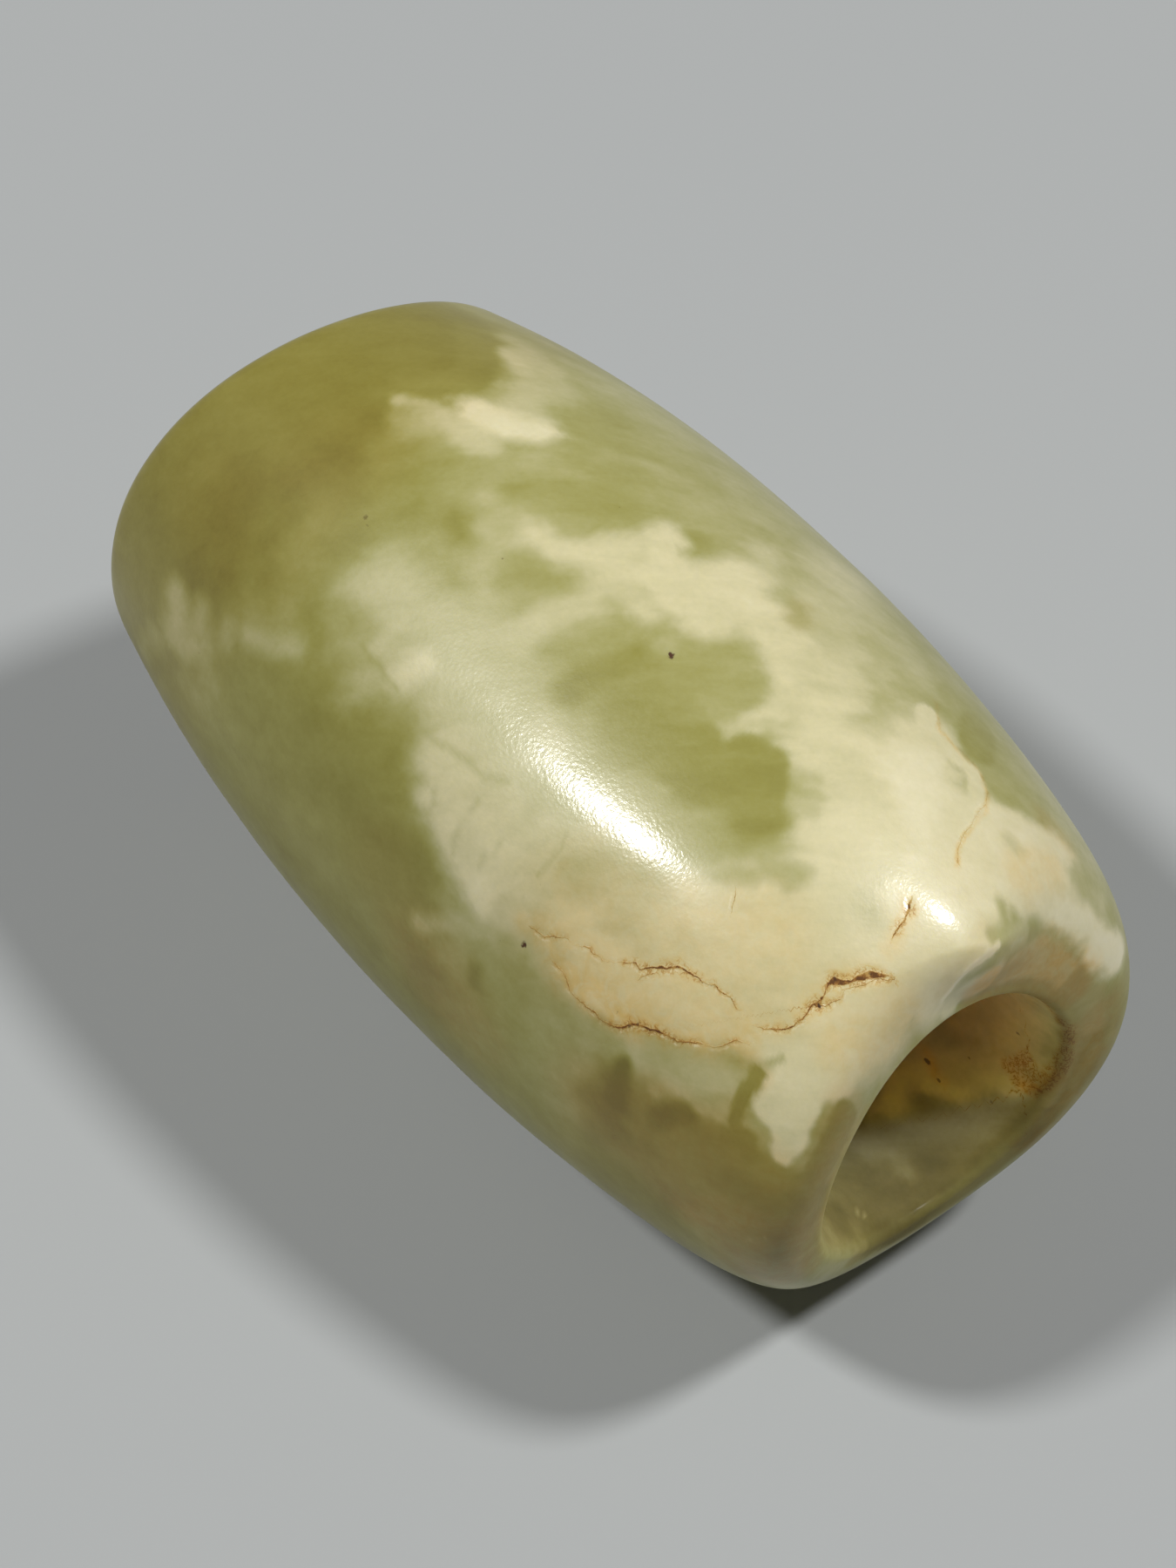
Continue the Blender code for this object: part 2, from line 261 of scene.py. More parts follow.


# The clouds in the stone: how milky, 0 clear olive to 100 cream, half width and softness in mm, points (mm
# along the surface from the middle, degrees round the axis with 90 at the top), and strength if not 100
# Some values in the hole and round the near mouth are painted light, marked where they stand
cloudBase = 42
cloudAndPaintedLightStrokes = [
    # clear olive far end
    (13, 5, 3.5, [(-21, 60), (-17.5, 70), (-17.5, 100)]),
    (13, 5, 3.5, [(-17.5, 118), (-17, 140), (-18, 172)]),
    (38, 2, 2.6, [(-19, 45), (-15, 44), (-12, 42)], 80),
    (6, 1.4, 2, [(-15.5, 126), (-14.5, 138), (-14.2, 145)], 90),
    (8, 1.2, 2, [(-12.8, 126), (-11.8, 133)], 80),
    (7, 1.2, 2, [(-13.5, 100), (-12.8, 109), (-13.4, 118)], 90),
    (25, 1.8, 2, [(-10.8, 99), (-9.8, 107)], 90),
    (15, 1.1, 1.8, [(-11.6, 113), (-9.8, 117), (-10.5, 124)], 80),
    (32, 0.6, 1.3, [(-11.6, 127.5), (-9.6, 125), (-8.4, 128)], 70),
    (18, 0.9, 1.5, [(-9.2, 131), (-8, 134)], 70),
    # pale green, upper middle
    (50, 4, 3, [(-8, 47), (-3, 50), (1, 46)]),
    (42, 1.8, 2.2, [(-8, 60), (-6.5, 66), (-5, 58)], 90),
    (46, 1.4, 2, [(-8.4, 94), (-8.2, 88)], 90),
    (34, 0.9, 1.5, [(-6.4, 87), (-5.6, 83), (-4.3, 78)], 90),
    (36, 0.8, 1.5, [(-8.5, 70), (-8.5, 61)], 80),
    (36, 0.7, 1.3, [(-4.6, 71), (-3.6, 76)], 80),
    (38, 0.7, 1.4, [(-7.3, 65), (-7.1, 72)], 80),
    (52, 0.5, 1.1, [(-7.8, 77), (-7.6, 84)], 80),
    (38, 0.5, 1.2, [(-2.3, 70), (-1.9, 73.5)], 80),
    (34, 0.5, 1, [(-0.3, 71.8), (0.6, 71)], 80),
    (52, 0.9, 1.4, [(-3.4, 60), (-2, 62)], 70),
    (74, 1.7, 2, [(3, 45), (4.6, 54), (5, 60)], 90),
    (58, 1.5, 2.2, [(6.5, 48), (8.4, 51.5)], 90),
    (68, 1, 1.8, [(5.6, 62), (7.8, 62)], 90),
    (70, 0.8, 1.4, [(1.6, 60), (2.2, 64), (2.6, 69)], 90),
    # cream patch at the far end
    (52, 0.8, 1.4, [(-15.2, 56), (-13.6, 57)], 90),
    (66, 0.95, 1.4, [(-13.6, 61), (-12.1, 64), (-10.9, 69), (-10.3, 74)]),
    (62, 0.6, 1.1, [(-12.2, 58), (-10.2, 64)], 90),
    (92, 0.85, 1, [(-11.1, 83), (-10.2, 81), (-9.3, 78.5), (-8.8, 76.5)]),
    (72, 0.7, 0.9, [(-12, 90), (-10.6, 89), (-9.4, 86)]),
    (62, 0.5, 0.7, [(-13.5, 90.5), (-12.6, 88.5)]),
    (50, 0.7, 1.2, [(-12.8, 94), (-11, 93)], 80),
    # cream band
    (85, 0.9, 1, [(-1.2, 76.5), (0, 79), (1.5, 78), (3, 77)]),
    (86, 1.3, 1.4, [(2, 71.5), (3.5, 74), (5.5, 74)]),
    (82, 0.7, 0.9, [(-1.6, 82), (-1.8, 86.5), (-0.6, 88.5)]),
    (82, 0.9, 1, [(0, 84), (2, 83.5), (3.6, 81)]),
    (76, 0.5, 0.9, [(-0.3, 89.5), (1.5, 89.5)], 90),
    (82, 1.2, 1.4, [(5, 72), (7, 73), (7.2, 78)]),
    (46, 0.5, 0.9, [(4.5, 65.2), (5, 67.5)], 90),
    # pale wisps under the band
    (74, 0.7, 1.3, [(-0.7, 91), (-0.4, 96), (-1.1, 104), (-1.5, 110)], 90),
    (58, 0.6, 1.1, [(-7.2, 94), (-6, 95), (-5.2, 93)], 90),
    (78, 0.75, 1, [(-4.4, 94), (-3.1, 92), (-2.1, 88.5), (-1.5, 84)]),
    (62, 0.6, 1.2, [(-4.6, 97), (-5.9, 99.5)], 80),
    (58, 0.7, 1.3, [(-5, 104), (-3, 107.5), (-1, 111)], 80),
    (36, 0.35, 0.8, [(-3.1, 100.5), (-2.4, 98.5), (-1.8, 97)], 90),
    (40, 0.55, 1, [(-3.9, 99), (-3.4, 103.5)], 80),
    (16, 0.5, 1.1, [(-7.6, 102), (-6.4, 102)], 90),
    (36, 0.5, 1, [(-6.5, 110), (-4.3, 111)], 70),
    (46, 0.4, 0.8, [(0.2, 100), (1.1, 96)], 80),
    (52, 0.3, 0.7, [(1.9, 95), (3.5, 90)], 80),
    # the middle, under the streak of light
    (64, 1.8, 2.4, [(-6.5, 121), (-4, 124)], 90),
    (60, 2.4, 2.4, [(-3, 120), (0, 122), (6, 123)], 90),
    (36, 0.8, 1.3, [(-7.6, 129), (-6.6, 126)], 80),
    (50, 0.6, 0.9, [(-5.6, 140), (-4.9, 134)], 90),
    (78, 0.6, 0.9, [(-3.5, 129), (-3.4, 124)], 90),
    (30, 0.9, 1.4, [(-4, 140), (-2.7, 136), (-2.4, 134)], 90),
    (75, 1.6, 1.9, [(0.4, 134.5), (2, 136), (5, 134)]),
    (80, 1.4, 1.7, [(1.4, 139.5), (3, 142), (5, 141)]),
    (86, 0.8, 0.9, [(4.4, 146.5), (5.4, 148)]),
    # large pale area at the near end
    (78, 1.6, 2, [(8.2, 67), (8.8, 76), (10, 80)]),
    (87, 1.7, 1.5, [(12, 62.5), (13, 66), (12.4, 74)]),
    (96, 1.8, 2, [(14.2, 70), (15.2, 76), (17.4, 81), (18.2, 88)]),
    (90, 1.9, 1.4, [(17, 66), (18.4, 74), (19.6, 84)]),
    (80, 1.6, 1.6, [(11, 83), (13.8, 86), (13.6, 93)]),
    (84, 1.7, 1.8, [(15.4, 87), (15.6, 95), (16, 104), (14, 110)]),
    (70, 1.4, 2, [(7, 131), (9.5, 128.5)]),
    (73, 1.6, 1.8, [(7.2, 137), (10, 133)]),
    (81, 2.4, 2.2, [(13, 122), (16.5, 118), (18, 108)]),
    (80, 1.2, 1.4, [(12.4, 129), (15.4, 127)]),
    (88, 2, 1.8, [(20.2, 121), (21.2, 110), (20.4, 98), (21.4, 92)]),
    (60, 0.6, 1.2, [(8.6, 60), (9.8, 63), (10.6, 61)], 90),
    (70, 0.4, 0.9, [(10.7, 69), (11.2, 71.5)], 80),
    # tan ground between the cracks
    (84, 1.7, 1.2, [(9.2, 144), (12, 141), (14.6, 136.5)]),
    (74, 0.9, 0.8, [(6.3, 145), (8.2, 146)]),
    (82, 1, 1, [(16.2, 133), (18, 130), (19.6, 127)]),
    (62, 0.9, 0.9, [(13.4, 148), (15.4, 147.5)]),
    # feathers at the far end
    (21, 2.8, 2.6, [(-9.6, 152), (-7.6, 158), (-9, 168)]),
    (46, 0.7, 1.2, [(-15.2, 163), (-14.2, 160), (-12.8, 158)], 90),
    (38, 0.5, 1.1, [(-15.9, 168), (-16.8, 175), (-17.5, 181)], 80),
    (30, 0.5, 1.1, [(-13.4, 168), (-14.5, 176), (-15.4, 183)], 70),
    # lower side
    (21, 2.2, 2.2, [(-6.8, 147), (-5, 152), (-2.4, 146)]),
    (20, 1.4, 1.5, [(-1, 149), (1.4, 152.5)]),
    (13, 1.6, 2.2, [(-3.5, 157), (0, 158), (2, 159)], 90),
    (18, 3.5, 3, [(-6, 174), (-1, 176), (4, 180)]),
    (14, 4, 3, [(-12, 190), (0, 192), (6, 190)], 90),
    (13, 0.9, 1.4, [(3, 167), (4, 172)], 80),
    (44, 1.2, 1.8, [(6.8, 152.5), (9, 155), (10, 158)], 90),
    (30, 1.8, 2.2, [(7, 160), (8, 166)], 90),
    (36, 1, 1.6, [(10.3, 163), (10.7, 174)], 90),
    (24, 2.4, 2.6, [(7, 174), (8.6, 182), (9, 196)]),
    (56, 0.4, 0.8, [(5.6, 150.5), (4.3, 154.5), (3.1, 158.5), (2.6, 161)], 90),
    (10, 0.4, 0.8, [(5.8, 160), (6, 163)], 90),
    # clear brown zone at the near end
    (21, 2.7, 1, [(14.2, 167), (17.5, 164), (21, 161.5)]),
    (5, 0.8, 1.4, [(13.1, 158), (13.3, 168), (13.4, 176)], 90),
    (16, 3, 2.6, [(14.4, 184), (15, 198)]),
    (29, 2.8, 2.6, [(20.6, 178), (21, 196)]),
    # moss window
    (38, 1.6, 1.3, [(3.2, 108), (5, 105), (6.5, 103)]),
    (35, 1.3, 1.3, [(2.9, 103), (3.4, 98), (5.2, 99)]),
    (24, 0.5, 0.9, [(2.1, 110), (2.3, 106), (2.6, 101), (2.7, 96)]),
    (42, 0.9, 1.2, [(4.8, 92), (6.2, 89.5), (6.2, 86.5)], 90),
    (44, 0.9, 1.3, [(4.5, 113), (8, 111.5), (11, 110.5)], 90),
    (27, 1.3, 1.2, [(4.8, 106), (7.4, 101.5), (8.4, 102.5)]),
    (42, 0.6, 0.9, [(10.4, 111), (11.7, 107.5), (12.3, 104)], 90),
    (25, 1.3, 1, [(8.4, 104.5), (9.8, 100), (11.2, 100.5)]),
    (76, 0.5, 0.7, [(8.2, 79), (8.4, 86), (8.2, 90.5)]),
    (60, 0.22, 0.5, [(8.2, 90.5), (7.8, 96)], 90),
    (58, 0.8, 1.3, [(7.6, 131), (8.6, 126), (9.4, 120)], 80),
    (50, 0.45, 0.8, [(12.2, 112.5), (13, 110)], 90),
    (56, 0.4, 0.7, [(12.2, 95), (12.8, 93)], 80),
    (50, 0.7, 0.9, [(13.2, 105.5), (14.4, 104)], 90),
    # upper near end
    (56, 2, 2, [(14, 26), (17, 30)], 90),
    (92, 1.5, 1.2, [(18.6, 44), (18.3, 54), (18.6, 64), (19.2, 70)]),
    (92, 1, 1.4, [(16.6, 59), (17.4, 54)]),
    (56, 0.6, 1, [(19.2, 40), (19.8, 34), (20, 30)], 90),
    (96, 0.7, 0.9, [(20.8, 14), (21, 26), (20.7, 40), (20.5, 54)]),
    (64, 0.35, 0.8, [(18, 58), (18.4, 57)], 70),
    # inside the hole: painted light, the walls in shade painted pale golden and the lit floor painted darker,
    # standing in for light carried through the stone
    (83, 9, 1.6, [(33.4, -30), (33.4, 40), (33.4, 110)]),
    (34, 9, 1.6, [(33.4, 150), (33.4, 200), (33.4, 250)]),
    (72, 0.8, 1.6, [(24.6, 10), (24.4, 30)]),
    (80, 1, 1.4, [(30, -56), (29, -66), (28.2, -76), (28, -84)]),
    (40, 1.3, 1.4, [(27, -84), (26.2, -76), (25.4, -70), (24.8, -56), (24.6, -46)]),
    (49, 1.5, 1.8, [(27.4, -94), (26.5, -92), (25.7, -88)]),
    (50, 0.6, 1.2, [(25.6, -87), (25.2, -81)]),
    (30, 1, 1.6, [(27.4, -118), (26.4, -112), (25.2, -98), (24.8, -76)]),
    (64, 0.5, 1.2, [(26.4, -90), (25.8, -87)], 80),
    (16, 1.2, 1, [(27, -140), (25.6, -134), (24.8, -126)]),
    (32, 0.8, 1, [(24.8, -122), (24.6, -112)]),
    (15, 0.9, 1, [(23.8, -118), (23.5, -98), (23.4, -80), (23.5, -50), (23.3, -20)]),
    # a painted glint inside the hole
    (80, 0.12, 0.3, [(25.1, -114), (25.4, -117)], 90),
    (24, 1.6, 1.2, [(21.6, 8), (21.5, -10), (21.8, -40), (21.8, -80)], 90),
    # far side and underside, out of the photo's sight
    (30, 5, 4, [(-16, 20), (-8, 5), (2, -10), (10, 0)]),
    (72, 1.6, 2.2, [(-14, -20), (-8, -8), (-3, 6), (3, 12)], 90),
    (15, 3.5, 3, [(-18, -30), (-14, -60), (-16, -100), (-18, -140)], 90),
    (66, 1.8, 2.5, [(6, -30), (11, -48), (13, -75), (17, -88)], 90),
    (84, 1, 1.6, [(10, -44), (12, -62), (14.5, -78)], 90),
    (15, 3.2, 3, [(-4, -60), (2, -85), (8, -120)], 90),
    (50, 1.5, 2.4, [(-11, -112), (-5, -128), (0, -136), (4, -150)], 80),
]
# Marks with crisp edges, drawn over the clouds; some round the near mouth are painted light
crispAndPaintedLightStrokes = [
    (54, 0.75, 1.3, [(-15.3, 154), (-15, 157), (-14.3, 161)]),
    (50, 0.6, 1.2, [(-13.7, 151), (-13.6, 155), (-13.8, 158)]),
    (44, 0.4, 0.9, [(-12, 147.5), (-11.8, 151)], 90),
    (54, 0.5, 1, [(-10.9, 145.5), (-9.7, 143), (-8.6, 139)]),
    (18, 0.9, 0.5, [(-16.2, 63), (-14.9, 67.5), (-13.8, 72.5), (-12.9, 77), (-13.3, 81), (-14.5, 85)]),
    (36, 0.12, 0.35, [(-5.9, 129.8), (-4.8, 130), (-3.6, 130.4)], 70),
    (42, 0.13, 0.4, [(-2, 132.4), (-0.6, 131.8), (0.7, 130.4), (2, 130), (2.8, 128)], 60),
    (52, 0.08, 0.2, [(6.2, 127), (6.4, 130), (6.3, 136)], 70),
    (56, 0.08, 0.25, [(0.4, 137), (0.8, 141), (0.6, 145)], 60),
    (58, 0.1, 0.3, [(2.4, 134), (2.2, 139), (2.6, 145)], 60),
    (60, 0.08, 0.25, [(4.3, 133), (4.2, 138), (3.9, 143)], 60),
    # moss window
    (24, 0.8, 0.5, [(9, 95), (10, 92.8), (10.9, 97), (11.6, 101)]),
    (60, 0.2, 0.5, [(11.2, 90.5), (11.9, 88)], 70),
    (62, 0.22, 0.5, [(8.6, 87.4), (8.2, 90.4), (7.6, 95)], 90),
    (56, 0.2, 0.5, [(11.7, 93.2), (12.3, 90.2)], 70),
    (86, 0.5, 0.25, [(11, 57.5), (11.8, 60), (12.8, 59.8), (13.3, 58.4), (14.2, 57.4), (14.9, 58.3),
                     (15.3, 60)]),
    # olive between the scallops
    (40, 0.9, 0.7, [(10.2, 44), (11.2, 46.5)]),
    (30, 0.95, 0.4, [(11.8, 44), (12.7, 49), (13.1, 50.8)]),
    (42, 0.55, 0.5, [(15.7, 53.6), (16, 49), (16.1, 42)], 90),
    # green and cream hanging into the brown
    (54, 1, 0.8, [(14.4, 147.5), (16.6, 143.5)]),
    (52, 0.35, 0.4, [(16.4, 146), (16.7, 150.4)]),
    (52, 0.26, 0.3, [(17.2, 144), (17.3, 149.6)]),
    (0, 0.45, 0.6, [(13.2, 154.5), (13.4, 158), (13.3, 163)]),
    (46, 0.3, 0.4, [(14.5, 150), (14.7, 154.5)]),
    (6, 0.45, 0.6, [(15.2, 160), (15.6, 156), (16.2, 153.6)]),
    (17, 0.45, 0.4, [(18, 152), (18.6, 149.6), (18.9, 153)]),
    (85, 1.15, 0.5, [(20.6, 126), (19.8, 130), (19.45, 136)]),
    (83, 0.75, 0.4, [(19.2, 138), (19.1, 141.5)]),
    (85, 0.8, 0.4, [(20.1, 136), (20, 141), (20.1, 144.5)]),
    (80, 0.5, 0.4, [(20, 145), (20.1, 148.5)]),
    (16, 0.33, 0.2, [(18, 136.4), (17.9, 140), (17.9, 144), (18, 149)]),
    (50, 0.12, 0.25, [(18.1, 134.5), (18.5, 130.8)], 80),
    (24, 0.9, 0.3, [(22.2, 131.7), (22.4, 137), (22.2, 145), (22, 154)]),
    (42, 0.07, 0.12, [(19.75, 177), (20.1, 175.4)], 90),
    (46, 0.06, 0.12, [(20.3, 174.6), (20.4, 173.4)], 90),
    # rim of the near mouth
    (92, 0.8, 0.8, [(19.9, 52), (20.1, 63)]),
    # painted light: this band is painted lighter to offset the shade where the shoulder falls steeply to the
    # mouth
    (86, 0.38, 0.4, [(20.7, 77), (20.85, 81), (21.1, 85), (21.5, 88.5), (21.8, 91)]),
    (48, 0.32, 0.6, [(20.3, 70), (20.8, 70.5), (21, 72)]),
    (56, 0.3, 0.4, [(20.9, 76), (21.2, 70), (21.3, 63)]),
    (100, 0.6, 0.7, [(20.7, 15), (20.9, 22), (21.3, 26), (21.4, 30)]),
    (52, 0.45, 0.7, [(19.2, 39), (19.6, 35), (19.9, 31)], 90),
    (58, 0.75, 0.4, [(22.6, 66), (22.3, 56), (22.3, 48), (22.6, 40), (22.9, 33)]),
    (40, 0.75, 0.5, [(22.9, 30), (22.8, 18), (22.9, 0), (23.2, -30)]),
    # painted light: the face beside the ridge is painted lighter to offset its shade
    (80, 0.65, 0.5, [(22.4, 72), (22.6, 78), (23, 86)]),
    (30, 0.5, 0.5, [(23.6, 80), (23.6, 60), (23.6, 30), (23.6, 0), (23.6, -30)]),
    # pale line along the ridge: partly a worn pale edge, partly a painted highlight
    (100, 0.14, 0.12, [(21.2, 75), (21.2, 78), (21.4, 81.5), (21.75, 85), (22.2, 88), (22.4, 89.5)]),
]
# Where the stone is brown or tan, from 0 greenish to 100 brown
warmBase = 12
warmStrokes = [
    (46, 7, 5, [(-20, 40), (-18, 90), (-18, 140), (-20, 200)]),
    (45, 2, 2.4, [(0, 158), (4, 164), (4, 172)], 80),
    (80, 3.5, 2.5, [(14, 168), (18, 168), (22, 164)]),
    (80, 0.5, 0.5, [(18, 136.4), (17.9, 144), (18.2, 152)]),
    (60, 1.6, 1, [(22.4, 131), (22.4, 145), (22.4, 160)]),
    (50, 3, 3, [(13, 188), (21, 188)], 80),
    (30, 3, 2.5, [(8, 142), (12, 142), (15, 138)], 90),
    (22, 3, 3, [(14, 126), (17, 118), (20, 108), (21, 100)], 90),
    (20, 1.6, 2, [(18, 44), (18, 60), (18.6, 74)], 90),
    (40, 0.6, 0.8, [(4.5, 65), (5, 67.5)], 90),
    (35, 0.5, 0.5, [(20.7, 77), (21.1, 85), (21.8, 91)]),
    (70, 1.1, 0.6, [(23, 76), (22.8, 40), (23, 10), (23.4, -30)]),
    (90, 1.2, 1.4, [(15, 155.5), (17, 154), (18, 150)], 90),
    (20, 2, 2, [(-12.5, 127), (-11.5, 134)], 80),
    (60, 6, 5, [(-18, -60), (-18, -120)], 80),
]
# Tan stain from the ground, 0 to 100
stainStrokes = [
    (66, 1.5, 1.2, [(9.6, 144.5), (12, 142.5), (14, 138), (16, 134)]),
    (70, 0.7, 1.2, [(7.8, 143.5), (9.4, 145), (11, 147), (12.6, 145.5)]),
    (55, 0.5, 1, [(7, 144.5), (8.8, 141.5)]),
    (85, 0.25, 0.5, [(7.4, 144.4), (8, 143.8), (8.6, 141.8)]),
    (95, 0.3, 0.6, [(12.2, 147.5), (13, 145), (14, 143), (15.4, 139.8)]),
    (45, 0.5, 1.2, [(17.6, 127), (18.3, 120), (18.7, 111), (19.7, 104)]),
    (40, 1.4, 1.8, [(20.5, 120), (21.6, 112), (21.8, 103)], 90),
    (45, 0.35, 0.8, [(18.4, 89), (18.9, 93), (19.3, 98)]),
    (32, 2.6, 2.5, [(9, 131), (14, 129), (15, 118)], 90),
    (40, 0.15, 0.35, [(14.9, 152), (14.6, 158)]),
    (50, 0.11, 0.2, [(10.4, 52), (12, 57.5), (12.8, 57), (13.2, 56), (14.1, 55), (14.9, 56), (15.4, 57),
                     (16.2, 60), (17, 67), (17.4, 72), (18.2, 76)]),
    (85, 1.8, 2.4, [(17.5, 175), (20.5, 171)]),
    (40, 2.4, 2, [(14, 166), (18, 161), (21, 160)]),
    (55, 2, 3, [(3, 169), (6, 173)]),
    (16, 2.5, 3, [(-16, 134), (-12.5, 130), (-13, 106)]),
    (86, 1.2, 1.2, [(22.8, 74), (22.6, 50), (22.8, 26)]),
    (80, 1.2, 1.4, [(22.3, 6), (22.6, -20), (22.6, -50)]),
    (60, 1.1, 1.4, [(22.4, 134), (22.6, 160), (22.4, 200)]),
    (80, 2.4, 2.4, [(20.5, 176), (20.8, 190)]),
    (40, 0.7, 1, [(16.8, 43), (17.6, 39)]),
    (35, 1, 1.2, [(19.1, 49), (19.4, 60)]),
    (100, 0.2, 0.5, [(23.6, 60), (23.9, 46), (24.2, 22), (23.7, 9), (23.8, -2), (23.9, -14),
                     (24.3, -24)], 90),
    (100, 0.45, 0.6, [(24, -18), (24.3, -26), (24.6, -31)]),
    (80, 0.2, 0.4, [(25.2, -20), (25.5, -27)], 90),
    (70, 0.5, 1, [(26.5, 2), (25.6, 15), (24.6, 32), (23.9, 50)], 80),
    (22, 4, 3, [(29, -20), (30, 30), (30, 80)]),
    (80, 0.4, 0.9, [(28.7, -50), (27.9, -53)], 80),
]
# Where one looks into deep brown stone, in the hole and on the shaded rim under it; in the hole its colours
# also carry painted light on the walls in shade
deepStrokes = [
    (85, 0.7, 0.8, [(23.6, -128), (23.7, -112), (23.3, -97), (23.2, -80), (23.3, -60), (23.1, -40)]),
    (70, 0.6, 0.8, [(23.1, -40), (22.9, -20), (22.7, -4)]),
]
# Noises in the stone and its form: size in mm, octaves, then a seed, or one for each direction
noises = {
    "broad": (5, 2, 11, 23),
    "fine": (0.8, 3, 37, 41),
    "plume": (1, 4, 29),
    "hidden": (7, 3, 91),
    "wisps": (1.3, 5, 5),
    "waves": (6, 2, 61),
    "jitter": (0.5, 2, 71, 83),
}
# How far they move the edges of clouds, crisp marks, stains and deep places, in mm, and how strong wisps are
veining = {
    "bend": 0.35, "fray": 0.17, "feather": 0.62,
    "crispFray": 0.15, "crispFeather": 0.155,
    "stainBend": 0.2, "stainFray": 0.25,
    "deepFray": 0.1,
    "wisps": 0.09, "wispFloor": 0.25, "wispEdges": 3.0,
    "stretch": 3.2,  # how far the grain draws the stone out
}
grain = np.array([0.64, 0.77, 0.0])
# Soft clouds on the side that lies out of sight, round this angle: reach and softness in mm, strength
hidden = {"angle": -80, "reach": 16, "soft": 6, "strength": 0.45}
# Where the hole begins at each end, in mm along the surface, and over how far the stone changes there
hole = {"near": 23.0, "far": 23.5, "soft": 1.5, "deep": 23.4, "deepSoft": 0.9}

